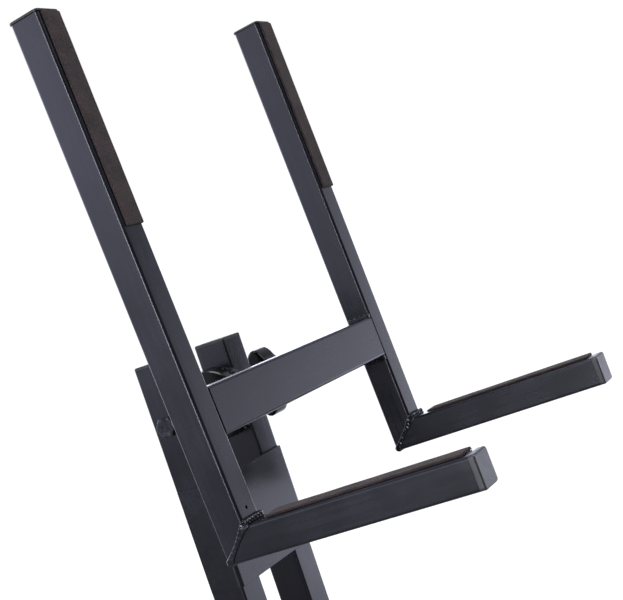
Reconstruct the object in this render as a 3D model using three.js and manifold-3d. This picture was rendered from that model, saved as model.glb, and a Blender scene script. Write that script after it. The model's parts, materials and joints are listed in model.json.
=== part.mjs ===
// Folding amp stand. A cradle of two L-shaped arms tilts between the two tubes of a leaning column,
// a knob clamps the tilt, and a rear leg folds forward into the space between the column's tubes.
// Millimetres, +Z up, the front (where the arms point) towards -Y, +X to the right.
import * as THREE from "three";
import { mergeVertices } from "three/addons/utils/BufferGeometryUtils.js";
import Module from "manifold-3d";

const wasm = await Module();
wasm.setup();

const degree = Math.PI / 180;
const quarterTurn = 90 * degree;

// Clearances
const gap = 0.3; // between two pieces that touch
const boltPlay = 0.3; // round a bolt, on the radius

// Stance
const pivotHeight = 470; // the tilt bolt above the floor
const columnLean = 20.5 * degree; // column from the vertical, top to the back
const cradleLean = 24 * degree; // uprights from the vertical, top to the back
const legLean = 46 * degree; // rear leg from the vertical, foot to the back

// Cradle
const cradleWidth = 352; // over the outer faces of the uprights
const cradleTube = 25.4; // square tube of the uprights and arms
const cradleWall = 1.5;
const uprightLength = 414; // from the arm's underside to the tube's top
const armLength = 206.5; // from the upright's back face to the tube's front end
const pivotBehind = 80; // the tilt bolt behind the uprights' back faces
const pivotAbove = 106.5; // the tilt bolt above the arms' undersides
const crossbarHeight = 38.1;
const crossbarDepth = 25.4;
const crossbarMiddle = 108.7; // above the arms' undersides
const tubeCorner = 2.4; // outer corner radius of every tube
const innerCornerLeast = 0.4;
const ventRadius = 1.5; // coating drain hole in the left upright's front face
const ventHeight = 36.3; // above the arm's underside

// Caps and pads
const uprightCapFlange = 2;
const uprightCapOverhang = 1;
const armCapHead = 5;
const plugDepth = 12; // how far each cap's plug reaches into its tube
const plugWall = 1.6;
const plugCorner = 1;
const plugInnerCorner = 0.5;
const capEdge = 1; // chamfer of a cap's head, and a third of a thin head
const heelPlugClear = 2; // between the rear leg's cap and its bolt
const padWidth = 20.4;
const padOffset = 1.7; // of every pad, towards +X from the middle of its tube
const padThickness = 2.1;
const padEdge = 1;
const uprightPadBottom = 254; // above the arms' undersides
const armPadStart = 42; // in front of the uprights' back faces
const padEndMargin = 5; // between an arm pad and the tube's front end

// Welds of the cradle
const weldRise = 0.8; // a corner bead above the tubes' faces
const weldWaist = 3.2; // its width halfway along the mitre
const weldFlare = 7.2; // its width at both ends of the mitre
const weldPast = 2; // how far its outline reaches past the mitre's ends
const weldFillet = 3.8; // legs of the bead in an inner corner
const weldBlobRadius = 2.3;
const weldBlobs = 6; // along an inner corner
const groundRadius = 4; // of the mitre's outer corner, ground round

// Tilt joint
const boltRadius = 5;
const boltHeadFlats = 16;
const boltHeadHeight = 6.4;
const headChamfer = 0.3; // inside the flats, at the end of a bolt's head
const lugThickness = 5;
const lugRadius = 19;
const lugHeight = 30; // where a lug meets the crossbar
const spacerRadius = 9;
const discRadius = 32;
const cradleDiscThickness = 14.5;
const columnDiscThickness = 10.7;
const discTeeth = 40;
const discToothDepth = 0.8;
const discToothBand = 3; // width of each toothed rim, at the seam between the discs
const discEdge = 1;
const washerRadius = 11;
const washerThickness = 1.6;

// Knob
const knobLobes = 6;
const knobRadius = 27.8; // halfway between a lobe's crest and a valley
const knobLobeHeight = 4.2;
const knobThickness = 24;
const knobHubRadius = 13;
const knobHubLength = 31.9;
const knobEdge = 2.5; // rounding of the head's edges
const knobTurn = 31.6 * degree; // how the knob happens to stand
const boltInKnob = 12; // how far the bolt reaches into the knob's head

// Column
const columnTube = 31.8; // square tube
const columnWall = 2;
const columnGap = 66; // between the two tubes
const columnAbove = 50.5; // tube above the tilt bolt
const columnClear = 6; // the lowest corner of the tubes' plugs above the floor
const columnCapFlange = 3;
const sleeveDrop = 55.3; // the sleeve's top edge below the tilt bolt
const sleeveLength = 90.5;
const sleeveThickness = 2;
const sleeveBend = 4; // outer radius
const sleeveShort = 2.6; // from the sides' back edges to the tubes' back faces

// Rear leg
const legPivotDrop = 240; // leg bolt below the tilt bolt, along the column
const legTubeWidth = 50.8;
const legTubeDepth = 25.4;
const legHeel = 18; // tube beyond the leg bolt
const legBoltRadius = 4;
const legBoltFlats = 13;
const legBoltHeadHeight = 5.3;
const legNutHeight = 6.5;
const legBoltTip = 2; // thread beyond the nut
const legWasherRadius = 9;
const earThickness = 4;
const earRound = 15; // round the leg bolt
const earTip = 12; // round the stop pin
const stopRadius = 6;
const stopReach = 40; // along the leg, from its bolt to the stop pin
const bushRadius = 9;

// Feet
const footBarLength = 410;
const footBarHigh = 38.1; // larger side of the feet's tube
const footBarLow = 25.4; // smaller side
const bootLength = 45;
const bootWall = 4;
const bootSole = 8; // rubber under the lowest corner of a foot bar
const bootEdge = 1.2;

// Roundness: how many straight pieces stand for a curve. An arc in an outline takes twice as many.
const rodSides = 24; // round bolts, washers and rings
const discSides = 40;
const chamferSides = 36; // chamfers of a bolt's head
const ventSides = 10;
const cornerSegments = 2; // at a tube's corner
const plugSegments = 1;
const lugSegments = 12;
const earSegments = 10;
const bendSegments = 5;
const lobeSteps = 12; // points on the outline of each knob lobe
const knobEdgeSegments = 3;
const bootEdgeSegments = 2;
const groundSegments = 2;
const filletSegments = 2;
const weldSteps = 8; // points along each edge of a corner bead

// Making
const overshoot = 1; // how far a cutting shape reaches past what it cuts
const sameHeight = 1e-3; // vertices this close to a height are at it
const samePoint = 1e-4; // vertices this close are one
const mitreOverlap = 0.01; // of two halves that are joined along a mitre

// Finishes, as the photograph shows them
const coatedSteel = new THREE.MeshStandardMaterial({ color: 0x3c3d45, roughness: 0.5, metalness: 0.4 });
const plastic = new THREE.MeshStandardMaterial({ color: 0x4a4b4e, roughness: 0.6, metalness: 0 });
const knobPlastic = new THREE.MeshStandardMaterial({ color: 0x15161a, roughness: 0.3, metalness: 0 });
const foam = new THREE.MeshStandardMaterial({ color: 0x3e3733, roughness: 0.95, metalness: 0 });
const rubber = new THREE.MeshStandardMaterial({ color: 0x1d1d1f, roughness: 0.85, metalness: 0 });
const boltSteel = new THREE.MeshStandardMaterial({ color: 0x3a3c3f, roughness: 0.4, metalness: 0.8 });

// ---- Solids ----

function solidOf(geometry) {
  const bare = new THREE.BufferGeometry();
  const source = geometry.index ? geometry.toNonIndexed() : geometry;
  bare.setAttribute("position", source.getAttribute("position"));
  const merged = mergeVertices(bare, samePoint);
  const vertProperties = new Float32Array(merged.getAttribute("position").array);
  return new wasm.Manifold(
    new wasm.Mesh({ numProp: 3, vertProperties, triVerts: new Uint32Array(merged.index.array) }),
  );
}

function geometryOf(solid) {
  const mesh = solid.getMesh();
  const geometry = new THREE.BufferGeometry();
  geometry.setAttribute("position", new THREE.BufferAttribute(mesh.vertProperties, 3));
  geometry.setIndex(new THREE.BufferAttribute(mesh.triVerts, 1));
  geometry.computeVertexNormals();
  return geometry;
}

const cut = (geometry, ...tools) =>
  geometryOf(tools.reduce((solid, tool) => solid.subtract(solidOf(tool)), solidOf(geometry)));

const join = (...geometries) =>
  geometryOf(geometries.map(solidOf).reduce((whole, solid) => whole.add(solid)));

const common = (a, b) => geometryOf(solidOf(a).intersect(solidOf(b)));

// ---- Outlines and basic shapes ----

// Draws a rectangle with round corners, centred on the origin, into a Shape or a Path.
function roundedRectangle(outline, width, height, radius) {
  const x = width / 2 - radius;
  const y = height / 2 - radius;
  outline.absarc(x, -y, radius, -quarterTurn, 0);
  outline.absarc(x, y, radius, 0, quarterTurn);
  outline.absarc(-x, y, radius, quarterTurn, 2 * quarterTurn);
  outline.absarc(-x, -y, radius, 2 * quarterTurn, 3 * quarterTurn);
  outline.closePath();
  return outline;
}

const extrude = (shape, depth, options = {}) =>
  new THREE.ExtrudeGeometry(shape, {
    depth,
    bevelEnabled: false,
    curveSegments: cornerSegments,
    ...options,
  });

// The shape from z = 0 to z = length, its end edges rounded within the outline.
function extrudeRounded(shape, length, edge, bevelSegments) {
  const block = extrude(shape, length - 2 * edge, {
    bevelEnabled: true,
    bevelSegments,
    bevelSize: edge,
    bevelThickness: edge,
    bevelOffset: -edge,
  });
  return block.translate(0, 0, edge);
}

// A rectangular tube along +Z from z = 0, its section centred on the axis.
function tube(width, depth, length, wall) {
  const shape = roundedRectangle(new THREE.Shape(), width, depth, tubeCorner);
  const innerCorner = Math.max(tubeCorner - wall, innerCornerLeast);
  shape.holes.push(roundedRectangle(new THREE.Path(), width - 2 * wall, depth - 2 * wall, innerCorner));
  return extrude(shape, length);
}

// Moves the end face at height z onto the plane z = z + offset + slope * y, which slants or mitres it.
function slantEnd(geometry, z, slope, offset = 0) {
  const points = geometry.getAttribute("position");
  for (let i = 0; i < points.count; i += 1) {
    if (Math.abs(points.getZ(i) - z) < sameHeight) points.setZ(i, z + offset + slope * points.getY(i));
  }
  return geometry;
}

// Lays a shape drawn in XY and extruded along Z on its side: X becomes Y, Y becomes Z, Z becomes X.
function sideways(geometry) {
  const turn = new THREE.Matrix4().makeBasis(
    new THREE.Vector3(0, 1, 0),
    new THREE.Vector3(0, 0, 1),
    new THREE.Vector3(1, 0, 0),
  );
  return geometry.applyMatrix4(turn);
}

// A round rod along X from x0 to x1.
function rod(radius, x0, x1, sides = rodSides) {
  const bar = new THREE.CylinderGeometry(radius, radius, x1 - x0, sides);
  return bar.rotateZ(-quarterTurn).translate((x0 + x1) / 2, 0, 0);
}

// A flat ring along X from x0 to x1.
const ring = (outer, inner, x0, x1) =>
  cut(rod(outer, x0, x1), rod(inner, x0 - overshoot, x1 + overshoot));

// A hexagon along X, its corners chamfered on the side that faces away from the joint.
function hexagon(flats, x0, x1, chamferAtEnd) {
  const corner = flats / Math.sqrt(3);
  const prism = rod(corner, x0, x1, 6).rotateX(Math.PI / 6);
  const drop = corner - flats / 2;
  const length = x1 - x0;
  const profile = [
    new THREE.Vector2(0, 0),
    new THREE.Vector2(corner + overshoot, 0),
    new THREE.Vector2(corner + overshoot, length - drop),
    new THREE.Vector2(flats / 2 - headChamfer, length),
    new THREE.Vector2(0, length),
  ];
  const blank = new THREE.LatheGeometry(profile, chamferSides);
  if (chamferAtEnd) blank.rotateZ(-quarterTurn).translate(x0, 0, 0);
  else blank.rotateZ(quarterTurn).translate(x1, 0, 0);
  return common(prism, blank);
}

// A cap for a tube's end: a head over the end at z = 0 to z = head, and a hollow plug below it.
function tubeCap(width, depth, wall, head, overhang) {
  const outline = roundedRectangle(
    new THREE.Shape(),
    width + 2 * overhang,
    depth + 2 * overhang,
    tubeCorner + overhang,
  );
  const bevel = Math.min(head / 3, capEdge);
  const top = extrudeRounded(outline, head + bevel, bevel, 1).translate(0, 0, -bevel);
  const flatBottom = new THREE.BoxGeometry(2 * width, 2 * depth, head + 2 * bevel);
  flatBottom.translate(0, 0, gap + head / 2 + bevel);
  const inside = 2 * (wall + gap);
  const plugShape = roundedRectangle(new THREE.Shape(), width - inside, depth - inside, plugCorner);
  const hollow = inside + 2 * plugWall;
  plugShape.holes.push(
    roundedRectangle(new THREE.Path(), width - hollow, depth - hollow, plugInnerCorner),
  );
  const plug = extrude(plugShape, plugDepth + 2 * gap, { curveSegments: plugSegments });
  plug.translate(0, 0, -plugDepth);
  return join(common(top, flatBottom), plug);
}

// ---- Placing ----

function piece(parent, name, geometry, material) {
  const mesh = new THREE.Mesh(geometry, material);
  mesh.name = name;
  parent.add(mesh);
  return mesh;
}

const sides = [
  ["left", -1],
  ["right", 1],
];

// ---- Tilt joint, from left to right along the bolt ----

const columnInner = columnGap / 2;
const columnOuter = columnInner + columnTube;
const columnDiscStart = columnInner - gap - columnDiscThickness;
const cradleDiscStart = columnDiscStart - gap - cradleDiscThickness;
const rightLugStart = cradleDiscStart - gap - lugThickness;
const leftWasherEnd = -columnInner + gap + washerThickness;
const leftLugStart = leftWasherEnd + gap;
const knobWasherEnd = columnOuter + gap + washerThickness;
const knobHubStart = knobWasherEnd + gap;
const knobHeadStart = knobHubStart + knobHubLength;
const boltEnd = knobHeadStart + boltInKnob;
const boltHole = boltRadius + boltPlay;

// A friction disc with a toothed rim on the side where it meets its partner.
function frictionDisc(x0, x1, bandStart) {
  const teeth = new THREE.Shape();
  const steps = 4 * discTeeth;
  for (let i = 0; i < steps; i += 1) {
    const angle = (2 * Math.PI * i) / steps;
    const radius = discRadius - (i % 4 < 2 ? 0 : discToothDepth);
    if (i === 0) teeth.moveTo(radius * Math.cos(angle), radius * Math.sin(angle));
    else teeth.lineTo(radius * Math.cos(angle), radius * Math.sin(angle));
  }
  teeth.closePath();
  const band = sideways(extrude(teeth, discToothBand)).translate(bandStart, 0, 0);
  const length = x1 - x0;
  const rim = discRadius - discToothDepth;
  const profile = [
    new THREE.Vector2(0, 0),
    new THREE.Vector2(rim - discEdge, 0),
    new THREE.Vector2(rim, discEdge),
    new THREE.Vector2(rim, length - discEdge),
    new THREE.Vector2(rim - discEdge, length),
    new THREE.Vector2(0, length),
  ];
  const body = new THREE.LatheGeometry(profile, discSides).rotateZ(-quarterTurn).translate(x0, 0, 0);
  return cut(join(body, band), rod(boltHole, x0 - overshoot, x1 + overshoot));
}

// ---- Cradle ----

const uprightX = (cradleWidth - cradleTube) / 2;
const uprightY = -pivotBehind - cradleTube / 2;
const armUnderside = -pivotAbove;
const armFront = -pivotBehind - armLength;
const mitreGap = gap / Math.SQRT2;

// What is ground off the outer corner of a mitre: all outside a round from the back face, y = 0, to the
// underside, z = 0. A grown tool leaves that much more.
function groundOff(grown) {
  const far = grown + overshoot;
  const waste = new THREE.Shape();
  waste.moveTo(-groundRadius, -far);
  waste.lineTo(far, -far);
  waste.lineTo(far, groundRadius);
  waste.lineTo(grown, groundRadius);
  waste.absarc(-groundRadius, groundRadius, groundRadius + grown, 0, -quarterTurn, true);
  waste.closePath();
  const width = cradleTube + 2 * far;
  const block = extrude(waste, width, { curveSegments: groundSegments });
  return sideways(block).translate(-width / 2, 0, 0);
}

function upright(withVent) {
  const mitred = tube(cradleTube, cradleTube, uprightLength, cradleWall);
  slantEnd(mitred, 0, -1, cradleTube / 2 + mitreGap);
  const bar = cut(mitred, groundOff(0).translate(0, cradleTube / 2, 0));
  if (!withVent) return bar;
  const vent = new THREE.CylinderGeometry(ventRadius, ventRadius, cradleTube / 2, ventSides);
  return cut(bar, vent.translate(0, -cradleTube / 2, ventHeight));
}

function arm() {
  const bar = tube(cradleTube, cradleTube, armLength, cradleWall);
  slantEnd(bar, 0, 1, cradleTube / 2 + mitreGap);
  return cut(bar.rotateX(quarterTurn), groundOff(0).translate(0, 0, -cradleTube / 2));
}

// The outside of the mitred corner, grown by some distance. The outer corner is at the origin.
function elbow(grown) {
  const size = cradleTube + 2 * grown;
  const half = cradleTube / 2;
  const section = roundedRectangle(new THREE.Shape(), size, size, tubeCorner + grown);
  const post = slantEnd(extrude(section, 3 * cradleTube), 0, -1, half - mitreOverlap);
  post.translate(0, -half, 0);
  const shelf = slantEnd(extrude(section, 3 * cradleTube), 0, 1, half);
  shelf.rotateX(quarterTurn).translate(0, 0, half);
  return cut(join(post, shelf), groundOff(grown));
}

// The slab that a corner bead is cut from: it follows the mitre, wide at both ends and narrow between.
function beadSlab() {
  const start = -weldPast;
  const length = cradleTube * Math.SQRT2 + 2 * weldPast;
  const edge = [];
  for (let i = 0; i <= weldSteps; i += 1) {
    const part = i / weldSteps;
    const width = weldWaist + (weldFlare - weldWaist) * (2 * part - 1) ** 2;
    edge.push(new THREE.Vector2(start + part * length, width / 2));
  }
  const mirrored = edge.map((point) => new THREE.Vector2(point.x, -point.y)).reverse();
  const thick = 2 * cradleTube;
  const slab = sideways(extrude(new THREE.Shape([...mirrored, ...edge]), thick));
  return slab.translate(-thick / 2, 0, 0).rotateX(1.5 * quarterTurn);
}

// A row of rough blobs between two points.
function blobRow(count, from, to) {
  const blobs = [];
  for (let i = 0; i < count; i += 1) {
    const place = from.clone().lerp(to, i / (count - 1));
    const blob = new THREE.IcosahedronGeometry(weldBlobRadius).rotateX(i).rotateY(i);
    blobs.push(blob.translate(place.x, place.y, place.z));
  }
  return blobs;
}

// The weld round a mitre: a bead on all four sides, and a rough fillet in the inner corner.
function cornerWeld() {
  const inner = cradleTube + gap;
  const leg = inner + weldFillet;
  const section = new THREE.Shape();
  section.moveTo(-cradleTube + overshoot, cradleTube - overshoot);
  section.lineTo(-cradleTube + overshoot, leg);
  section.lineTo(-inner, leg);
  section.lineTo(-leg, inner);
  section.lineTo(-leg, cradleTube - overshoot);
  section.closePath();
  const width = cradleTube - 2 * weldRise;
  const fillet = sideways(extrude(section, width)).translate(-width / 2, 0, 0);
  const crest = inner + weldFillet / 2;
  const end = new THREE.Vector3(width / 2 - weldBlobRadius / 2, -crest, crest);
  const blobs = blobRow(weldBlobs, end.clone().setX(-end.x), end);
  const bead = common(elbow(gap + weldRise), beadSlab());
  return cut(join(bead, fillet, ...blobs), elbow(gap));
}

// The weld round the crossbar's end, open towards the front. The upright is on its -X side, at x = -gap.
function crossbarWeld() {
  const swell = 2 * (gap + weldFillet);
  const corner = tubeCorner + gap;
  const outline = roundedRectangle(
    new THREE.Shape(),
    crossbarHeight + swell,
    crossbarDepth + swell,
    corner + weldFillet,
  );
  const whole = extrudeRounded(outline, 2 * weldFillet + gap, weldFillet, filletSegments);
  whole.translate(0, 0, -weldFillet).rotateY(quarterTurn);
  const front = -crossbarDepth / 2;
  const high = crossbarHeight / 2 + gap + weldFillet / 2;
  const crest = new THREE.Vector3(weldFillet / 3, front, high);
  const behind = crest.clone().setY(-front);
  const below = new THREE.Vector3(1, 1, -1);
  const blobs = [
    ...blobRow(weldBlobs, crest, behind),
    ...blobRow(weldBlobs, crest.clone().multiply(below), behind.clone().multiply(below)),
  ];
  const space = 2 * crossbarHeight;
  const flush = new THREE.BoxGeometry(space, space, space).translate(0, front - space / 2, 0);
  const beyond = new THREE.BoxGeometry(space, space, space).translate(-space / 2, 0, 0);
  const barShape = roundedRectangle(
    new THREE.Shape(),
    crossbarHeight + 2 * gap,
    crossbarDepth + 2 * gap,
    corner,
  );
  const bar = extrude(barShape, space).translate(0, 0, -space / 2).rotateY(quarterTurn);
  return cut(join(cut(whole, flush), ...blobs), bar, beyond);
}

// A foam strip along +Z, its back on y = 0 and its front corners rounded, towards -Y.
function padStrip(length) {
  const x = padWidth / 2;
  const front = padEdge - padThickness;
  const strip = new THREE.Shape();
  strip.moveTo(-x, 0);
  strip.lineTo(-x, front);
  strip.absarc(-x + padEdge, front, padEdge, 2 * quarterTurn, 3 * quarterTurn);
  strip.absarc(x - padEdge, front, padEdge, -quarterTurn, 0);
  strip.lineTo(x, 0);
  strip.closePath();
  return extrude(strip, length);
}

function addCradle(cradle) {
  for (const [side, sign] of sides) {
    const x = sign * uprightX;
    const post = piece(cradle, side + "_upright", upright(side === "left"), coatedSteel);
    post.position.set(x, uprightY, armUnderside);

    const shelf = piece(cradle, side + "_arm", arm(), coatedSteel);
    shelf.position.set(x, -pivotBehind, armUnderside + cradleTube / 2);

    const bead = piece(cradle, side + "_corner_weld", cornerWeld(), coatedSteel);
    bead.position.set(x, -pivotBehind, armUnderside);

    const topCap = tubeCap(cradleTube, cradleTube, cradleWall, uprightCapFlange, uprightCapOverhang);
    piece(cradle, side + "_upright_cap", topCap, plastic).position.set(
      x,
      uprightY,
      armUnderside + uprightLength,
    );

    const frontCap = tubeCap(cradleTube, cradleTube, cradleWall, armCapHead, 0);
    const end = piece(cradle, side + "_arm_cap", frontCap.rotateX(quarterTurn), plastic);
    end.position.set(x, armFront, armUnderside + cradleTube / 2);

    const backPad = piece(
      cradle,
      side + "_upright_pad",
      padStrip(uprightLength - uprightPadBottom),
      foam,
    );
    backPad.position.set(x + padOffset, uprightY - cradleTube / 2 - gap, armUnderside + uprightPadBottom);

    const padLength = armLength - armPadStart - padEndMargin;
    const shelfPad = piece(cradle, side + "_arm_pad", padStrip(padLength).rotateX(-quarterTurn), foam);
    shelfPad.position.set(
      x + padOffset,
      armFront + padEndMargin,
      armUnderside + cradleTube + gap,
    );
  }

  const crossbarLength = cradleWidth - 2 * (cradleTube + gap);
  const crossbar = tube(crossbarHeight, crossbarDepth, crossbarLength, cradleWall);
  crossbar.translate(0, 0, -crossbarLength / 2).rotateY(quarterTurn);
  const crossbarY = -pivotBehind - cradleTube + crossbarDepth / 2;
  piece(cradle, "crossbar", crossbar, coatedSteel).position.set(
    0,
    crossbarY,
    armUnderside + crossbarMiddle,
  );
  for (const [side, sign] of sides) {
    const weld = crossbarWeld();
    if (sign > 0) weld.rotateY(2 * quarterTurn);
    const end = piece(cradle, side + "_crossbar_weld", weld, coatedSteel);
    end.position.set(sign * (crossbarLength / 2), crossbarY, armUnderside + crossbarMiddle);
  }

  for (const [side, start] of [
    ["left", leftLugStart],
    ["right", rightLugStart],
  ]) {
    const reach = -crossbarY - crossbarDepth / 2 - gap;
    const middle = crossbarMiddle - pivotAbove;
    const plate = new THREE.Shape();
    plate.moveTo(-reach, middle - lugHeight / 2);
    plate.lineTo(0, -lugRadius);
    plate.absarc(0, 0, lugRadius, -quarterTurn, quarterTurn);
    plate.lineTo(-reach, middle + lugHeight / 2);
    plate.closePath();
    const blank = sideways(extrude(plate, lugThickness, { curveSegments: lugSegments }));
    blank.translate(start, 0, 0);
    const lug = cut(blank, rod(boltHole, start - overshoot, start + lugThickness + overshoot));
    piece(cradle, side + "_tilt_lug", lug, coatedSteel);
  }
  const spacerStart = leftLugStart + lugThickness + gap;
  piece(cradle, "lug_spacer", ring(spacerRadius, boltHole, spacerStart, rightLugStart - gap), coatedSteel);

  const discEnd = cradleDiscStart + cradleDiscThickness;
  const disc = frictionDisc(cradleDiscStart, discEnd, discEnd - discToothBand);
  piece(cradle, "cradle_disc", disc, knobPlastic);
}

// ---- Column ----

const legBore = legBoltRadius + boltPlay;

// The height along the column, at the distance y behind its axis, of a plane above the floor.
const alongColumn = (above, y) =>
  (above - pivotHeight + y * Math.sin(columnLean)) / Math.cos(columnLean);

const columnBottom = alongColumn(columnClear, columnTube / 2) + columnCapFlange;
const columnX = (columnGap + columnTube) / 2;

function addColumn(column) {
  const length = columnAbove - columnBottom;
  for (const [side, sign] of sides) {
    const x = sign * columnX;
    const bar = tube(columnTube, columnTube, length, columnWall).translate(x, 0, columnBottom);
    const tiltHole = rod(boltHole, x - columnTube, x + columnTube);
    const legHole = rod(legBore, x - columnTube, x + columnTube).translate(0, 0, -legPivotDrop);
    piece(column, side + "_column", cut(bar, tiltHole, legHole), coatedSteel);

    const cap = () => tubeCap(columnTube, columnTube, columnWall, columnCapFlange, 0);
    piece(column, side + "_column_cap", cap(), plastic).position.set(x, 0, columnAbove);
    piece(column, side + "_column_plug", cap().rotateY(2 * quarterTurn), plastic).position.set(
      x,
      0,
      columnBottom,
    );
  }
  addSleeve(column);
  addTiltBolt(column);
  addLegBracket(column);
  addFrontFoot(column);
}

// The sheet sleeve: a channel round the outer sides and the fronts of both tubes.
function addSleeve(column) {
  const x = columnOuter + gap;
  const front = -columnTube / 2 - gap;
  const back = columnTube / 2 - sleeveShort;
  const bend = sleeveBend;
  const t = sleeveThickness;
  const channel = new THREE.Shape();
  channel.moveTo(-x - t, back);
  channel.lineTo(-x - t, front - t + bend);
  channel.absarc(-x - t + bend, front - t + bend, bend, 2 * quarterTurn, 3 * quarterTurn);
  channel.absarc(x + t - bend, front - t + bend, bend, -quarterTurn, 0);
  channel.lineTo(x + t, back);
  channel.lineTo(x, back);
  channel.absarc(x - bend + t, front + bend - t, bend - t, 0, -quarterTurn, true);
  channel.absarc(-x + bend - t, front + bend - t, bend - t, -quarterTurn, -2 * quarterTurn, true);
  channel.lineTo(-x, back);
  channel.closePath();
  const sleeve = extrude(channel, sleeveLength, { curveSegments: bendSegments });
  piece(column, "sleeve", sleeve, coatedSteel).position.set(0, 0, -sleeveDrop - sleeveLength);
}

function addTiltBolt(column) {
  const headEnd = -columnOuter - gap;
  const head = hexagon(boltHeadFlats, headEnd - boltHeadHeight, headEnd, false);
  piece(column, "tilt_bolt", join(head, rod(boltRadius, headEnd - overshoot, boltEnd)), boltSteel);
  const inner = ring(washerRadius, boltHole, leftWasherEnd - washerThickness, leftWasherEnd);
  piece(column, "lug_washer", inner, boltSteel);
  const outer = ring(washerRadius, boltHole, knobWasherEnd - washerThickness, knobWasherEnd);
  piece(column, "knob_washer", outer, boltSteel);
  const disc = frictionDisc(columnDiscStart, columnDiscStart + columnDiscThickness, columnDiscStart);
  piece(column, "column_disc", disc, knobPlastic);
}

// ---- Rear leg ----

const legTurn = columnLean + legLean; // leg from the column's lower part
const legPivotHeight = pivotHeight - legPivotDrop * Math.cos(columnLean);
const legBarTop = bootSole + footBarLow;
const legLength = (legPivotHeight - legBarTop - gap) / Math.cos(legLean);
const earInner = columnInner - gap - earThickness;

// Two ears on the column's inner faces, with the stop pin that the open leg's upper face rests on.
function addLegBracket(column) {
  const away = legTubeDepth / 2 + gap + stopRadius;
  const stopY = stopReach * Math.sin(legTurn) + away * Math.cos(legTurn);
  const stopZ = -stopReach * Math.cos(legTurn) + away * Math.sin(legTurn);
  const slope = Math.atan2(stopZ, stopY);
  for (const [side, sign] of sides) {
    const plate = new THREE.Shape();
    plate.absarc(0, 0, earRound, slope + quarterTurn, slope + 3 * quarterTurn);
    plate.absarc(stopY, stopZ, earTip, slope - quarterTurn, slope + quarterTurn);
    plate.closePath();
    const x = sign > 0 ? earInner : -earInner - earThickness;
    const blank = sideways(extrude(plate, earThickness, { curveSegments: earSegments })).translate(x, 0, 0);
    const ear = cut(blank, rod(legBore, x - overshoot, x + earThickness + overshoot));
    piece(column, side + "_leg_ear", ear, coatedSteel).position.z = -legPivotDrop;
  }
  const pin = rod(stopRadius, -earInner + gap, earInner - gap);
  piece(column, "leg_stop", pin, boltSteel).position.set(0, stopY, stopZ - legPivotDrop);

  const washerEnd = columnOuter + gap + washerThickness;
  for (const [side, sign] of sides) {
    const washer = ring(legWasherRadius, legBore, washerEnd - washerThickness, washerEnd);
    if (sign < 0) washer.rotateZ(2 * quarterTurn);
    piece(column, side + "_leg_washer", washer, boltSteel).position.z = -legPivotDrop;
  }
  const seat = washerEnd + gap;
  const head = hexagon(legBoltFlats, -seat - legBoltHeadHeight, -seat, false);
  const nutEnd = seat + legNutHeight;
  const shank = rod(legBoltRadius, -seat - overshoot, nutEnd + legBoltTip);
  piece(column, "leg_bolt", join(head, shank), boltSteel).position.z = -legPivotDrop;
  const nutBlank = hexagon(legBoltFlats, seat, nutEnd, true);
  const nut = cut(nutBlank, rod(legBore, seat - overshoot, nutEnd + overshoot));
  piece(column, "leg_nut", nut, boltSteel).position.z = -legPivotDrop;
}

function addLeg(leg) {
  const bar = tube(legTubeWidth, legTubeDepth, legLength + legHeel, cradleWall);
  bar.translate(0, 0, -legLength);
  slantEnd(bar, -legLength, -Math.tan(legLean));
  piece(leg, "rear_leg", cut(bar, rod(legBore, -legTubeWidth, legTubeWidth)), coatedSteel);

  const heelCap = tubeCap(legTubeWidth, legTubeDepth, cradleWall, uprightCapFlange, 0);
  piece(leg, "rear_leg_cap", shortPlug(heelCap), plastic).position.z = legHeel;

  for (const [side, sign] of sides) {
    const bush = ring(bushRadius, legBore, legTubeWidth / 2 + gap, earInner - gap);
    if (sign < 0) bush.rotateZ(2 * quarterTurn);
    piece(leg, side + "_leg_bush", bush, plastic);
  }

  const foot = new THREE.Group();
  foot.position.z = -legLength;
  foot.rotation.x = -legLean;
  leg.add(foot);
  const footBar = tube(footBarLow, footBarHigh, footBarLength, cradleWall);
  footBar.translate(0, 0, -footBarLength / 2).rotateY(quarterTurn);
  piece(foot, "rear_foot_bar", footBar, coatedSteel).position.z = -gap - footBarLow / 2;

  const half = footBarHigh / 2 + bootWall;
  const outline = new THREE.Shape();
  outline.moveTo(-half, -bootSole - footBarLow / 2);
  outline.lineTo(half, -bootSole - footBarLow / 2);
  outline.lineTo(half, footBarLow / 2 + bootWall);
  outline.lineTo(-half, footBarLow / 2 + bootWall);
  outline.closePath();
  addBoots(foot, "rear", outline, [0, 0], [footBarHigh, footBarLow], [0, -gap - footBarLow / 2]);
}

// The heel's plug ends short of the leg bolt.
function shortPlug(cap) {
  const reach = legHeel - legBoltRadius - heelPlugClear;
  const keep = new THREE.BoxGeometry(2 * legTubeWidth, 2 * legTubeDepth, reach + 2 * uprightCapFlange);
  return common(cap, keep.translate(0, 0, uprightCapFlange - reach / 2));
}

// ---- Feet ----

// A rubber boot over each end of a foot bar. The outline and the bar's section are drawn in YZ.
function addBoots(parent, end, outline, barCentre, barSize, place) {
  const halfBar = footBarLength / 2;
  const outerEnd = halfBar + gap + bootWall;
  for (const [side, sign] of sides) {
    const block = extrudeRounded(outline, bootLength, bootEdge, bootEdgeSegments);
    const boot = sideways(block).translate(outerEnd - bootLength, 0, 0);
    const socket = new THREE.BoxGeometry(bootLength, barSize[0] + 2 * gap, barSize[1] + 2 * gap);
    socket.translate(halfBar + gap - bootLength / 2, barCentre[0], barCentre[1]);
    const open = cut(boot, socket);
    if (sign < 0) open.applyMatrix4(new THREE.Matrix4().makeScale(-1, 1, 1));
    piece(parent, side + "_" + end + "_boot", sign < 0 ? turnedOut(open) : open, rubber).position.set(
      0,
      place[0],
      place[1],
    );
  }
}

// Turns a mirrored geometry's faces the right way out again.
function turnedOut(geometry) {
  const index = geometry.index.array;
  for (let i = 0; i < index.length; i += 3) [index[i + 1], index[i + 2]] = [index[i + 2], index[i + 1]];
  return geometry;
}

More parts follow.
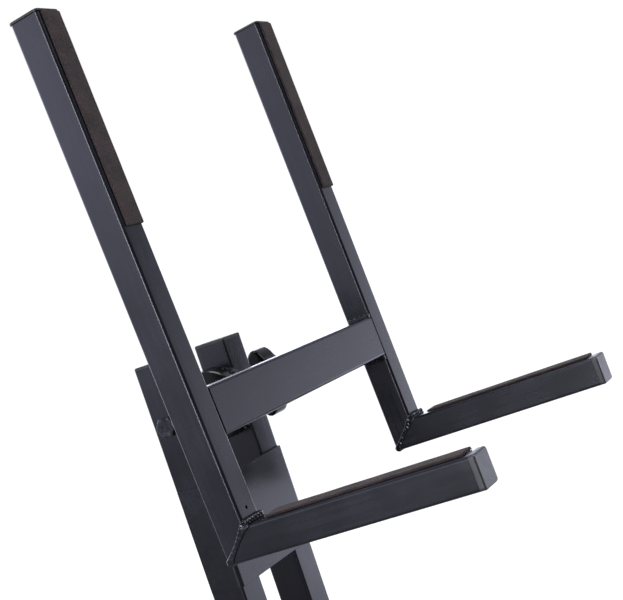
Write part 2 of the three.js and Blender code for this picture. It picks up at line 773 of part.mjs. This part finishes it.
function addFrontFoot(column) {
  const back = -columnTube / 2 - gap;
  const front = back - footBarLow;
  const bottom = alongColumn(bootSole, back);
  const barY = (back + front) / 2;
  const barZ = bottom + footBarHigh / 2;
  const footBar = tube(footBarHigh, footBarLow, footBarLength, cradleWall);
  footBar.translate(0, 0, -footBarLength / 2).rotateY(quarterTurn);
  piece(column, "front_foot_bar", footBar, coatedSteel).position.set(0, barY, barZ);

  const outline = new THREE.Shape();
  outline.moveTo(front - bootWall, alongColumn(0, front - bootWall));
  outline.lineTo(back + bootWall, alongColumn(0, back + bootWall));
  outline.lineTo(back + bootWall, bottom + footBarHigh + bootWall);
  outline.lineTo(front - bootWall, bottom + footBarHigh + bootWall);
  outline.closePath();
  addBoots(column, "front", outline, [barY, barZ], [footBarLow, footBarHigh], [0, 0]);
}

// ---- Knob ----

function addKnob(knob) {
  const head = new THREE.Shape();
  const steps = lobeSteps * knobLobes;
  for (let i = 0; i < steps; i += 1) {
    const angle = (2 * Math.PI * i) / steps;
    const radius = knobRadius + knobLobeHeight * Math.cos(knobLobes * angle);
    const point = new THREE.Vector2(radius, 0).rotateAround(new THREE.Vector2(), angle + knobTurn);
    if (i === 0) head.moveTo(point.x, point.y);
    else head.lineTo(point.x, point.y);
  }
  head.closePath();
  const lobed = sideways(extrudeRounded(head, knobThickness, knobEdge, knobEdgeSegments));
  lobed.translate(knobHeadStart, 0, 0);
  const hub = rod(knobHubRadius, knobHubStart, knobHeadStart + overshoot);
  const bore = rod(boltHole, knobHubStart - overshoot, boltEnd + gap);
  piece(knob, "tilt_knob", cut(join(lobed, hub), bore), knobPlastic);
}

// ---- Assembly ----

const stand = new THREE.Group();

const column = new THREE.Group();
column.position.z = pivotHeight;
column.rotation.x = -columnLean;
stand.add(column);
addColumn(column);

const cradle = new THREE.Group();
cradle.position.z = pivotHeight;
cradle.rotation.x = -cradleLean;
stand.add(cradle);
addCradle(cradle);

const knob = new THREE.Group();
column.add(knob);
addKnob(knob);

const leg = new THREE.Group();
leg.position.z = -legPivotDrop;
leg.rotation.x = legTurn;
column.add(leg);
addLeg(leg);

// The origin lies on the floor below the middle of the whole stand's box.
const box = new THREE.Box3().setFromObject(stand, true);
stand.position.y = -(box.min.y + box.max.y) / 2;
stand.position.x = -(box.min.x + box.max.x) / 2;

const part = new THREE.Group();
part.add(stand);

export default part;
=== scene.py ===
import json
import math
import bmesh
import bpy
import numpy as np
from mathutils import Matrix, Vector


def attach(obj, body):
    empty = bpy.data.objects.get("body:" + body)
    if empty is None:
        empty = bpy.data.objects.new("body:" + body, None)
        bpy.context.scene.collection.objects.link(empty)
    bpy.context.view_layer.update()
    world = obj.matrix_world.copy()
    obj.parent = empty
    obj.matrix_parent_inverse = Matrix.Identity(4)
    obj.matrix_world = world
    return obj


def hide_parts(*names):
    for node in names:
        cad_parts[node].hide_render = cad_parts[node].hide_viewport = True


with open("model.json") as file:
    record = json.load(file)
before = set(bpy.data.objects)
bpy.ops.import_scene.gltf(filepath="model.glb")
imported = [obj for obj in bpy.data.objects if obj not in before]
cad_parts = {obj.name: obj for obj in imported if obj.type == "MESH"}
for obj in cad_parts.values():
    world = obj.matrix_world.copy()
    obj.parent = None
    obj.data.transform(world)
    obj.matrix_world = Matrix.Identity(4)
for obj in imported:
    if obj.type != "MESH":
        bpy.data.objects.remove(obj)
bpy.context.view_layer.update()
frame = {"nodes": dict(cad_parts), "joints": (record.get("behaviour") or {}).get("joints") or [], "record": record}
nodes = frame["nodes"]
slotOf = {part["node"]: part["material_slot"] for part in frame["record"]["subparts"]}
bodyOf = {node: body for body, members in frame["record"]["behaviour"]["bodies"].items() for node in members}
tiltBolt = np.array(next(joint["pos_m"] for joint in frame["joints"] if joint["name"] == "cradle_tilt"))
millimetre = 0.001
print("frame loaded:", len(nodes), "nodes")


# Frames that lean with the cradle and the column

lean = {"cradle": 24, "column": 20.5}  # degrees from the vertical, top to the back


def leaningAxes(body):
    # rows are the leaning frame's X, Y and Z axes, seen in the part's frame
    angle = math.radians(lean[body])
    sine, cosine = math.sin(angle), math.cos(angle)
    return np.array([[1, 0, 0], [0, cosine, -sine], [0, sine, cosine]])


def toPart(points, body):
    # millimetres from the tilt bolt along the leaning axes become metres in the part's frame
    return points * millimetre @ leaningAxes(body) + tiltBolt


def leaningPoints(mesh, body):
    # a mesh's points, in millimetres from the tilt bolt along the leaning axes
    flat = np.empty(len(mesh.vertices) * 3)
    mesh.vertices.foreach_get("co", flat)
    return (flat.reshape(-1, 3) - tiltBolt) @ leaningAxes(body).T / millimetre


def movePoints(mesh, local, body):
    mesh.vertices.foreach_set("co", toPart(local, body).ravel())


def leaningBox(node, body):
    local = leaningPoints(nodes[node].data, body)
    return local.min(0), local.max(0)


def addObject(name, data):
    thing = bpy.data.objects.new(name, data)
    bpy.context.scene.collection.objects.link(thing)
    return thing


# Materials

noiseRoughness = 0.6  # how strong the finer detail of every noise is


def linear(colour):
    # sRGB hex to linear light
    channels = np.array([int(colour[i : i + 2], 16) for i in (1, 3, 5)]) / 255
    light = np.where(channels <= 0.04045, channels / 12.92, ((channels + 0.055) / 1.055) ** 2.4)
    return (*light.tolist(), 1.0)


def emptyTree(owner):
    owner.use_nodes = True
    owner.node_tree.nodes.clear()
    return owner.node_tree


def addNode(tree, kind, settings=None, links=None):
    # a whole-number key is a socket's place, for nodes whose sockets share a name
    node = tree.nodes.new("ShaderNode" + kind)
    for key, value in (settings or {}).items():
        if isinstance(key, int) or key in node.inputs:
            node.inputs[key].default_value = value
        else:
            setattr(node, key, value)
    for key, source in (links or {}).items():
        tree.links.new(source, node.inputs[key])
    return node


def makeFinish(name, look):
    # each pattern is a noise with its spacing in mm, its detail, the range of it that is used, its depth in mm
    # and its grid; the first two together choose between the tones and between the roughnesses, and every
    # pattern that has a depth is a bump
    material = bpy.data.materials.new(name)
    tree = emptyTree(material)
    shader = addNode(tree, "BsdfPrincipled", look["surface"])
    addNode(tree, "OutputMaterial", links={"Surface": shader.outputs["BSDF"]})
    grids = {
        "even": addNode(tree, "TexCoord").outputs["Object"],
        "drawn out": addNode(tree, "Attribute", {"attribute_name": "grain"}).outputs["Vector"],
    }
    patterns, normal = [], None
    for spacing, detail, low, high, depth, grid in look["patterns"]:
        settings = {"Scale": 1 / (spacing * millimetre), "Detail": detail, "Roughness": noiseRoughness}
        noise = addNode(tree, "TexNoise", settings, {"Vector": grids[grid]}).outputs["Fac"]
        used = {"From Min": low, "From Max": high}
        patterns.append(addNode(tree, "MapRange", used, {"Value": noise}).outputs["Result"])
        if depth:
            links = {"Height": patterns[-1], **({"Normal": normal} if normal else {})}
            normal = addNode(tree, "Bump", {"Distance": depth * millimetre}, links).outputs["Normal"]
    both = addNode(tree, "Mix", {0: look["secondShare"]}, {2: patterns[0], 3: patterns[1]}).outputs[0]
    tones = {"data_type": "RGBA", 6: linear(look["tones"][0]), 7: linear(look["tones"][1])}
    colour = addNode(tree, "Mix", tones, {0: both}).outputs[2]
    ends = {"To Min": look["roughness"][0], "To Max": look["roughness"][1]}
    roughness = addNode(tree, "MapRange", ends, {"Value": both}).outputs["Result"]
    for key, source in (("Base Color", colour), ("Roughness", roughness), ("Normal", normal)):
        tree.links.new(source, shader.inputs[key])
    return material


# satin black polyester powder on steel: blue-black, with faint clouds drawn out along each tube and the
# shallow orange peel of a cured coat, so that flat faces stay calm and round edges catch a thin bright line
powderCoat = {
    "tones": ("#040508", "#13141b"),
    "secondShare": 0.45,
    "roughness": (0.19, 0.31),
    "patterns": (
        (60, 5, 0.35, 0.65, 0, "even"),
        (3.5, 4, 0.3, 0.7, 0.008, "drawn out"),
        (0.5, 2, 0, 1, 0.004, "even"),
        (2.2, 1, 0, 1, 0.02, "even"),
    ),
    "surface": {"IOR": 1.5, "Specular Tint": linear("#f3f2ff")},
}

# the same coat where it pooled on the weld beads: thicker and glossier, so their scales sparkle
pooledCoat = {**powderCoat, "roughness": (0.1, 0.2)}

# moulded polyethylene of the thin caps, plugs and bushes: black, duller than the steel, with its mould's grain
capPlastic = {
    "tones": ("#0d0e11", "#15161a"),
    "secondShare": 0.3,
    "roughness": (0.38, 0.5),
    "patterns": ((18, 3, 0.35, 0.65, 0, "even"), (4, 3, 0.3, 0.7, 0, "even"), (0.7, 2, 0, 1, 0.02, "even")),
    "surface": {"IOR": 1.51},
}

# the thick caps on the arms: grey-black polyethylene, made paler than the other caps as painted light, for the
# front light that falls on their heads
frontLitCapPlastic = {
    "tones": ("#1f2025", "#303138"),
    "secondShare": 0.5,
    "roughness": (0.36, 0.5),
    "patterns": ((9, 5, 0.35, 0.65, 0, "even"), (1.4, 5, 0.4, 0.7, 0, "even"), (0.6, 2, 0, 1, 0.03, "even")),
    "surface": {"IOR": 1.51, "Specular IOR Level": 0.6},
}

# polished black nylon: deep and glossy, dulled a little where fingers hold it
knobPlastic = {
    "tones": ("#020203", "#060709"),
    "secondShare": 0.4,
    "roughness": (0.1, 0.18),
    "patterns": ((25, 5, 0.35, 0.65, 0, "even"), (6, 5, 0.3, 0.7, 0, "even"), (1.5, 4, 0, 1, 0.008, "even")),
    "surface": {"IOR": 1.53, "Specular IOR Level": 0.2},
}

# glass-filled nylon: dark and satin, its short fibres showing as faint paler flecks
discPlastic = {
    "tones": ("#060708", "#121317"),
    "secondShare": 0.6,
    "roughness": (0.15, 0.26),
    "patterns": ((12, 3, 0.35, 0.65, 0, "even"), (1.2, 4, 0.4, 0.7, 0.006, "even")),
    "surface": {"IOR": 1.53, "Specular IOR Level": 0.25},
}

# cellular rubber strip: brown-black and fully matt, its cut cells drawn as coarse as they need to show
foamRubber = {
    "tones": ("#1c161a", "#3e3236"),
    "secondShare": 0.5,
    "roughness": (0.9, 1.0),
    "patterns": ((14, 3, 0.35, 0.65, 0, "even"), (1.3, 4, 0.35, 0.65, 0.5, "even")),
    "surface": {"Sheen Weight": 0.08, "Sheen Roughness": 0.6, "Specular IOR Level": 0.2},
}

# moulded rubber of the feet: soft black with a dry bloom and a fine grain
bootRubber = {
    "tones": ("#101011", "#1b1b1c"),
    "secondShare": 0.3,
    "roughness": (0.62, 0.8),
    "patterns": ((30, 5, 0.35, 0.7, 0, "even"), (5, 4, 0.3, 0.7, 0, "even"), (0.9, 3, 0, 1, 0.05, "even")),
    "surface": {"IOR": 1.52},
}

# black-oxide steel: a thin dark film over forged metal, worn paler in patches
boltSteel = {
    "tones": ("#2a2b2f", "#505258"),
    "secondShare": 0.4,
    "roughness": (0.22, 0.36),
    "patterns": ((9, 4, 0.35, 0.7, 0, "even"), (2.5, 4, 0.35, 0.7, 0.008, "even")),
    "surface": {"Metallic": 1.0},
}

materialOf = {
    "coated_steel": makeFinish("satinBlackPowderCoat", powderCoat),
    "cap_plastic": makeFinish("mouldedPolyethylene", capPlastic),
    "knob_plastic": makeFinish("polishedBlackNylon", knobPlastic),
    "disc_plastic": makeFinish("glassFilledNylon", discPlastic),
    "foam_pad": makeFinish("cellularRubber", foamRubber),
    "rubber_boot": makeFinish("mouldedRubber", bootRubber),
    "bolt_steel": makeFinish("blackOxideSteel", boltSteel),
}

# pieces that look different from the rest of their slot
ownMaterial = {
    # painted light: the arm caps get a paler copy of the cap plastic, for the light on their fronts
    "arm_cap": makeFinish("frontLitPolyethylene", frontLitCapPlastic),
    "weld": makeFinish("pooledBlackPowderCoat", pooledCoat),
}
print("materials made:", len(materialOf) + len(ownMaterial))


# Hard pieces: the CAD shapes with their edges broken

edgeBreak = {  # mm, the radius along each piece's sharp edges
    "coated_steel": 0.35,
    "cap_plastic": 0.3,
    "knob_plastic": 0.3,
    "disc_plastic": 0.35,
    "rubber_boot": 0.5,
    "bolt_steel": 0.45,
}

fine = {
    "mergeWithin": 0.001,  # mm
    "flatUnder": 0.5,  # degrees: faces that meet at less are one face
    "smoothUnder": 35,  # degrees: a sharper corner is an edge
    "edgeSteps": 2,
    "drawnOut": 30,  # how many times longer than wide the clouds along a tube are
}

cap = {
    "seam": 0.25,  # mm that a cap's head comes down through the clearance to its tube
    "plugStep": 2.2,  # mm: an end that is narrower than the head by more than this is the plug's
    "rim": 0.6,  # mm, the ring along the head's outer edge that shows where its underside is
    "level": 0.01,  # mm: points that lie as near as this to a height are at it
}

weld = {
    "frontEnd": {"left": 5, "right": 0.4},  # mm from the crossbar's front face to its beads' ends
    "backEnd": {"left": 1, "right": 3.5},  # and from its back face
    "voxel": 0.4,  # mm, the skin's cells
    "ease": 0.5,  # how far each easing moves a point to the middle of its neighbours
    "easings": 2,
    "ripple": 0.4,  # mm, rise of the cooled metal's scales
    "rippleSpacing": 2,  # mm
    "swell": 0.25,  # mm that the bead grows, which takes it down to the tubes
}

crossbar = {"root": 0.2}  # mm that each end comes nearer to its upright


def looseCopy(name):
    # a merged copy of the CAD node with its flat faces whole, so that the edge rounding runs cleanly
    mesh = nodes[name].data.copy()
    work = bmesh.new()
    work.from_mesh(mesh)
    bmesh.ops.remove_doubles(work, verts=work.verts, dist=fine["mergeWithin"] * millimetre)
    flat = math.radians(fine["flatUnder"])
    bmesh.ops.dissolve_limit(work, angle_limit=flat, verts=work.verts, edges=work.edges)
    work.to_mesh(mesh)
    work.free()
    return mesh


def writeGrain(mesh, body):
    # the points along the leaning axes, the longest of them pressed together
    local = leaningPoints(mesh, body) * millimetre
    local[:, np.argmax(np.ptp(local, axis=0))] /= fine["drawnOut"]
    grain = mesh.attributes.new("grain", "FLOAT_VECTOR", "POINT")
    grain.data.foreach_set("vector", local.ravel())


def closeSeam(mesh, body):
    # the flat ring under a cap's head moves down to the tube's end
    local = leaningPoints(mesh, body)
    size = np.ptp(local, axis=0)
    axis = int(np.argmin(size))
    lowEnd = local[local[:, axis] < local[:, axis].min() + cap["level"]]
    headIsLow = np.ptp(lowEnd, axis=0).max() > size.max() - cap["plugStep"]
    outward = -1 if headIsLow else 1
    along = local[:, axis] * outward
    fromMiddle = np.abs(local - (local.max(0) + local.min(0)) / 2).max(1)
    underside = along[fromMiddle > size.max() / 2 - cap["rim"]].min()
    local[np.abs(along - underside) < cap["level"], axis] -= outward * cap["seam"]
    movePoints(mesh, local, body)


def reachUprights(mesh):
    # the crossbar's ends come nearer to the uprights, so that no light shows between them
    local = leaningPoints(mesh, "cradle")
    local[:, 0] += np.sign(local[:, 0]) * crossbar["root"]
    movePoints(mesh, local, "cradle")


def finish(piece, body, material):
    piece.data.materials.clear()
    piece.data.materials.append(material)
    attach(piece, body)


def fineCopy(name):
    mesh, slot, body = looseCopy(name), slotOf[name], bodyOf[name]
    if name.endswith("_cap") and name != "rear_leg_cap":
        closeSeam(mesh, body)
    if name == "crossbar":
        reachUprights(mesh)
    writeGrain(mesh, "column" if body == "column" else "cradle")
    mesh.shade_smooth()
    piece = addObject(name + "_fine", mesh)
    rounding = piece.modifiers.new("rounding", "BEVEL")
    rounding.width = edgeBreak[slot] * millimetre
    rounding.segments = fine["edgeSteps"]
    rounding.limit_method = "ANGLE"
    rounding.angle_limit = math.radians(fine["smoothUnder"])
    piece.modifiers.new("flatFaces", "WEIGHTED_NORMAL").keep_sharp = True
    finish(piece, body, ownMaterial["arm_cap"] if name.endswith("arm_cap") else materialOf[slot])
    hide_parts(name)


def shortenBead(mesh, side):
    # a bead beside the crossbar ends before the crossbar's front and back faces
    low, high = leaningBox("crossbar", "cradle")
    work = bmesh.new()
    work.from_mesh(mesh)
    for end, outward in ((low[1] + weld["frontEnd"][side], -1), (high[1] - weld["backEnd"][side], 1)):
        point = toPart(np.array([[0, end, 0]]), "cradle")[0]
        way = leaningAxes("cradle")[1] * outward
        geometry = [*work.verts, *work.edges, *work.faces]
        cut = bmesh.ops.bisect_plane(work, geom=geometry, plane_co=point, plane_no=way, clear_outer=True)
        rim = [edge for edge in cut["geom_cut"] if isinstance(edge, bmesh.types.BMEdge)]
        bmesh.ops.holes_fill(work, edges=rim)
    work.to_mesh(mesh)
    work.free()


def roughWeld(name):
    # the CAD bead as one skin of small cells, eased, and raised and lowered by cloudy scales
    mesh = looseCopy(name)
    if name.endswith("crossbar_weld"):
        shortenBead(mesh, name.split("_")[0])
    piece = addObject(name + "_bead", mesh)
    skin = piece.modifiers.new("skin", "REMESH")
    skin.mode = "VOXEL"
    skin.voxel_size = weld["voxel"] * millimetre
    skin.use_smooth_shade = True
    ease = piece.modifiers.new("ease", "SMOOTH")
    ease.factor = weld["ease"]
    ease.iterations = weld["easings"]
    scales = bpy.data.textures.new(name + "_scales", "CLOUDS")
    scales.noise_scale = weld["rippleSpacing"] * millimetre
    scales.noise_depth = 1
    raised = piece.modifiers.new("raised", "DISPLACE")
    raised.texture = scales
    raised.texture_coords = "LOCAL"
    raised.strength = weld["ripple"] * millimetre
    raised.mid_level = 0.5 - weld["swell"] / weld["ripple"]
    bpy.context.view_layer.update()
    ready = bpy.data.meshes.new_from_object(piece.evaluated_get(bpy.context.evaluated_depsgraph_get()))
    piece.modifiers.clear()
    piece.data = ready
    writeGrain(ready, "cradle")
    ready.shade_smooth()
    finish(piece, "cradle", ownMaterial["weld"])
    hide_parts(name)


for name in sorted(nodes):
    if name.endswith("_weld"):
        roughWeld(name)
    elif slotOf[name] != "foam_pad":
        fineCopy(name)
print("hard pieces made")


# Foam strips

strip = {
    "edge": 0.9,  # mm, rounding of the cut edges
    "edgePoints": 7,
    "facePoints": 22,  # across the face
    "backPoints": 14,  # across the back
    "rings": 160,  # along the strip
    "wander": 0.18,  # mm that the long edges stray
    "wanderSpacing": 60,  # mm
    "swell": 0.14,  # mm that the face rises and falls
    "swellSpacing": 35,  # mm
    "sunk": 0.6,  # how far the face lies low for that, as a share of the swell
    "waves": 8,
    "waveStretch": (0.7, 1.6),  # waves in each spacing
    "fill": 0.9,
    "seed": 7,
    "seedStep": 10,
}


def ripple(x, y, spacing, seed):
    # a smooth random surface: the mean of sine waves with random directions and phases
    chance = np.random.default_rng(seed)
    angle = chance.uniform(0, 2 * np.pi, strip["waves"])
    phase = chance.uniform(0, 2 * np.pi, strip["waves"])
    stretch = chance.uniform(*strip["waveStretch"], strip["waves"])
    total = np.zeros_like(x)
    for a, p, k in zip(angle, phase, stretch):
        total += np.sin(2 * np.pi * k / spacing * (x * np.cos(a) + y * np.sin(a)) + p)
    return total / strip["waves"]


def surfaceObject(name, points, faces):
    mesh = bpy.data.meshes.new(name)
    mesh.from_pydata(points.tolist(), [], faces)
    mesh.update()
    mesh.shade_smooth()
    return addObject(name, mesh)


def loftFaces(rings, count):
    # quads between each ring of points and the next, and one face over each end
    ring, spot = np.meshgrid(np.arange(rings - 1), np.arange(count), indexing="ij")
    ahead = (spot + 1) % count
    near, far = ring * count, (ring + 1) * count
    quads = np.stack([near + spot, near + ahead, far + ahead, far + spot], -1)
    ends = [list(range(count))[::-1], list(range((rings - 1) * count, rings * count))]
    return quads.reshape(-1, 4).tolist() + ends


def stripProfile(width, thick, turn):
    # up the left side, over the face, down the right side and back along the tube, with two round corners
    edge = strip["edge"]
    corner = np.stack([edge * np.sin(turn), edge * np.cos(turn)], -1)
    flat = np.linspace(-width / 2 + edge, width / 2 - edge, strip["facePoints"])
    right = np.stack([width / 2 - edge + corner[1:, 0], thick - edge + corner[1:, 1]], -1)
    left = right[::-1] * [-1, 1]
    face = np.stack([flat, np.full(len(flat), thick)], -1)
    under = np.linspace(width / 2, -width / 2, strip["backPoints"])
    back = np.stack([under, np.zeros(len(under))], -1)
    return np.concatenate([left, face, right, back])


def foamStrip(node, seed):
    # the profile is carried along the tube and drawn in by a quarter circle at each end
    low, high = leaningBox(node, "cradle")
    size = high - low
    upright = size[2] > size[1]
    length, thick = (size[2], size[1]) if upright else (size[1], size[2])
    width, edge = size[0], strip["edge"]
    turn = np.linspace(0, np.pi / 2, strip["edgePoints"])
    profile = stripProfile(width, thick, turn)
    ends = edge * (1 - np.cos(turn))
    straight = np.linspace(edge, length - edge, strip["rings"])[1:-1]
    places = np.concatenate([ends, straight, length - ends[::-1]])
    drawnIn = edge * (1 - np.sin(turn))
    inset = np.concatenate([drawnIn, np.zeros(len(straight)), drawnIn[::-1]])
    across = np.repeat(profile[None, :, 0], len(places), 0)
    rise = np.repeat(profile[None, :, 1], len(places), 0)
    along = np.repeat(places[:, None], len(profile), 1)
    share = rise / thick
    pull = inset[:, None] * share
    stray = strip["wander"] * share * ripple(along, 0 * along, strip["wanderSpacing"], seed)
    across = across * (1 - pull / (width / 2)) + stray * np.sign(across)
    waves = ripple(across, along, strip["swellSpacing"], seed + 1)
    rise = rise - pull + share * strip["swell"] * (waves - strip["sunk"])
    across = np.clip(across, -width / 2, width / 2)
    middle = (low[0] + high[0]) / 2
    faces = loftFaces(len(places), len(profile))
    if upright:
        local = np.stack([middle + across, high[1] - rise, low[2] + along], -1)
    else:
        local = np.stack([middle + across, low[1] + along, low[2] + rise], -1)
        faces = [face[::-1] for face in faces]
    piece = surfaceObject(node + "_foam", toPart(local.reshape(-1, 3), "cradle"), faces)
    finish(piece, "cradle", materialOf["foam_pad"])
    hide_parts(node)


pads = sorted(name for name in nodes if slotOf[name] == "foam_pad")
for number, name in enumerate(pads):
    foamStrip(name, strip["seed"] + strip["seedStep"] * number)
print("foam strips made:", len(pads))


# Floor, light and camera

studio = {
    "reach": 30,  # metres from the stand to the floor's edges
    "drop": 0.0005,  # metres that the floor lies below the boots
    "floor": "#d6d6d6",
    "floorReflected": "#8b8b92",  # its colour in reflections, so the steel's lower faces stay deep
    "floorWhite": (0.36, 0.62),  # added where the camera looks at the floor, near the stand and far from it
    "floorFar": 1.1,  # added where a reflection meets the floor far from the stand
    "farFrom": (1.2, 4.2),  # metres
    "ambient": 0.62,  # the light that falls on every surface from all round
    "behind": 1.0,  # the white behind the stand, as the camera sees it
    "reflected": "#ebeeff",  # the walls' pale colour
    "horizon": 1.55,  # the lit walls low down, as reflections see them
    "ceiling": 0.36,
    "ceilingFrom": 0.38,  # sine of the height at which the ceiling begins
    "darkSide": (-0.33, -0.94, 0),  # towards the unlit side of the room
    "sides": ((-0.05, -0.35, 1.6), (0.5, 0.75, 0.2)),  # where that way the light changes, and its share there
    "brightSide": (0.6, 0.8, 0),  # towards the lit part of the floor
    "brightFrom": (0.3, 1.2),  # metres that way
    "bright": 2.0,
}

lamps = {  # places and sizes in metres
    "keyLamp": {"place": (0.6, -1.2, 3.4), "aim": (0, 0, 0.5), "size": (1.6, 1.6), "watts": 50},
    "topLamp": {"place": (-0.6, 1.0, 2.6), "aim": (0, 0, 0.5), "size": (0.9, 0.9), "watts": 20},
    "stripLamp": {"place": (-2.6, 0.25, 0.9), "aim": (0, 0.1, 0.6), "size": (0.35, 1.6), "watts": 40},
}

view = {
    "fromTiltBolt": (-0.9562, -0.5562, 0.2889),  # metres
    "azimuth": -64.446,  # degrees
    "elevation": 15.533,
    "lens": 75.89,  # mm
    "sensor": 36,  # mm
    "shift": 0.205,  # of the picture's width, because the photograph is the upper part of a larger picture
    "clip": (0.05, 100),  # metres
}


def rayShares(tree):
    # 1 for a look straight at it or through glass, and 1 for a reflection
    path = addNode(tree, "LightPath").outputs
    looks = {0: path["Is Camera Ray"], 1: path["Is Transmission Ray"]}
    return addNode(tree, "Math", {"operation": "MAXIMUM"}, looks).outputs[0], path["Is Glossy Ray"]


def roomShare(tree, way):
    # more light from the side away from the dark one, and little from the dark side
    product = {"operation": "DOT_PRODUCT", 1: studio["darkSide"]}
    toDark = addNode(tree, "VectorMath", product, {0: way}).outputs["Value"]
    shares = {}
    for number, (start, end, level) in enumerate(studio["sides"]):
        change = {"From Min": start, "From Max": end, "To Min": 1, "To Max": level}
        settings = {"interpolation_type": "SMOOTHSTEP", **change}
        shares[number] = addNode(tree, "MapRange", settings, {"Value": toDark}).outputs["Result"]
    return addNode(tree, "Math", {"operation": "MULTIPLY"}, shares).outputs[0]


def floorGlow(tree, where):
    # how much the floor shines in a straight look, and in a reflection
    away = addNode(tree, "VectorMath", {"operation": "LENGTH"}, {0: where}).outputs["Value"]
    way = addNode(tree, "VectorMath", {"operation": "NORMALIZE"}, {0: where}).outputs["Vector"]
    levels = []
    for near, far in (studio["floorWhite"], (0, studio["floorFar"])):
        start, end = studio["farFrom"]
        settings = {"From Min": start, "From Max": end, "To Min": near, "To Max": far}
        levels.append(addNode(tree, "MapRange", settings, {"Value": away}).outputs["Result"])
    lit = addNode(tree, "Math", {"operation": "MULTIPLY"}, {0: levels[1], 1: roomShare(tree, way)}).outputs[0]
    product = {"operation": "DOT_PRODUCT", 1: studio["brightSide"]}
    toBright = addNode(tree, "VectorMath", product, {0: where}).outputs["Value"]
    start, end = studio["brightFrom"]
    settings = {"From Min": start, "From Max": end, "To Max": studio["bright"]}
    bright = addNode(tree, "MapRange", settings, {"Value": toBright}).outputs["Result"]
    return levels[0], addNode(tree, "Math", {"operation": "ADD"}, {0: lit, 1: bright}).outputs[0]


def floorMaterial():
    material = bpy.data.materials.new("paintedFloor")
    tree = emptyTree(material)
    straight, glossy = rayShares(tree)
    seen, mirrored = floorGlow(tree, addNode(tree, "TexCoord").outputs["Object"])
    paints = {"data_type": "RGBA", 6: linear(studio["floor"]), 7: linear(studio["floorReflected"])}
    paint = addNode(tree, "Mix", paints, {0: glossy}).outputs[2]
    surface = addNode(tree, "BsdfDiffuse", links={"Color": paint}).outputs[0]
    for colour, level, rays in (("#ffffff", seen, straight), (studio["reflected"], mirrored, glossy)):
        strength = addNode(tree, "Math", {"operation": "MULTIPLY"}, {0: level, 1: rays}).outputs[0]
        glow = addNode(tree, "Emission", {"Color": linear(colour)}, {"Strength": strength}).outputs[0]
        surface = addNode(tree, "AddShader", links={0: surface, 1: glow}).outputs[0]
    addNode(tree, "OutputMaterial", links={"Surface": surface})
    return material


def makeFloor():
    reach = studio["reach"]
    corners = [(-reach, -reach, 0), (reach, -reach, 0), (reach, reach, 0), (-reach, reach, 0)]
    mesh = bpy.data.meshes.new("floor")
    mesh.from_pydata(corners, [], [(0, 1, 2, 3)])
    mesh.materials.append(floorMaterial())
    floor = addObject("floor", mesh)
    floor.location.z = -studio["drop"]


def makeWorld():
    # reflections see walls that are bright at the horizon, dark above, and unlit on one side
    world = bpy.data.worlds.new("studio")
    bpy.context.scene.world = world
    tree = emptyTree(world)
    straight, glossy = rayShares(tree)
    way = addNode(tree, "TexCoord").outputs["Generated"]
    height = addNode(tree, "SeparateXYZ", links={0: way}).outputs["Z"]
    change = {"From Max": studio["ceilingFrom"], "To Min": studio["horizon"], "To Max": studio["ceiling"]}
    settings = {"interpolation_type": "SMOOTHSTEP", **change}
    wall = addNode(tree, "MapRange", settings, {"Value": height}).outputs["Result"]
    seen = addNode(tree, "Math", {"operation": "MULTIPLY"}, {0: wall, 1: roomShare(tree, way)}).outputs[0]
    level = addNode(tree, "Mix", {2: studio["ambient"]}, {0: glossy, 3: seen}).outputs[0]
    strength = addNode(tree, "Mix", {3: studio["behind"]}, {0: straight, 2: level}).outputs[0]
    tints = {"data_type": "RGBA", 6: linear("#ffffff"), 7: linear(studio["reflected"])}
    colour = addNode(tree, "Mix", tints, {0: glossy}).outputs[2]
    background = addNode(tree, "Background", links={"Color": colour, "Strength": strength})
    addNode(tree, "OutputWorld", links={"Surface": background.outputs[0]})


def softLamp(name, place, aim, size, watts):
    light = bpy.data.lights.new(name, "AREA")
    light.shape = "RECTANGLE"
    light.size, light.size_y = size
    light.energy = watts
    lamp = addObject(name, light)
    lamp.location = place
    lamp.rotation_euler = (Vector(aim) - Vector(place)).to_track_quat("-Z", "Y").to_euler()


def makeCamera():
    azimuth, elevation = math.radians(view["azimuth"]), math.radians(view["elevation"])
    level = math.cos(elevation)
    back = Vector((math.sin(azimuth) * level, -math.cos(azimuth) * level, math.sin(elevation)))
    right = Vector((math.cos(azimuth), math.sin(azimuth), 0))
    up = back.cross(right)
    data = bpy.data.cameras.new("camera")
    data.lens = view["lens"]
    data.sensor_width = view["sensor"]
    data.shift_y = view["shift"]
    data.clip_start, data.clip_end = view["clip"]
    camera = addObject("camera", data)
    turn = Matrix((right, up, back)).transposed().to_4x4()
    camera.matrix_world = Matrix.Translation(Vector(tiltBolt) + Vector(view["fromTiltBolt"])) @ turn
    bpy.context.scene.camera = camera


makeFloor()
makeWorld()
for name, lamp in lamps.items():
    softLamp(name, **lamp)
makeCamera()
bpy.context.scene.view_settings.view_transform = "Standard"
print("floor, light and camera made")
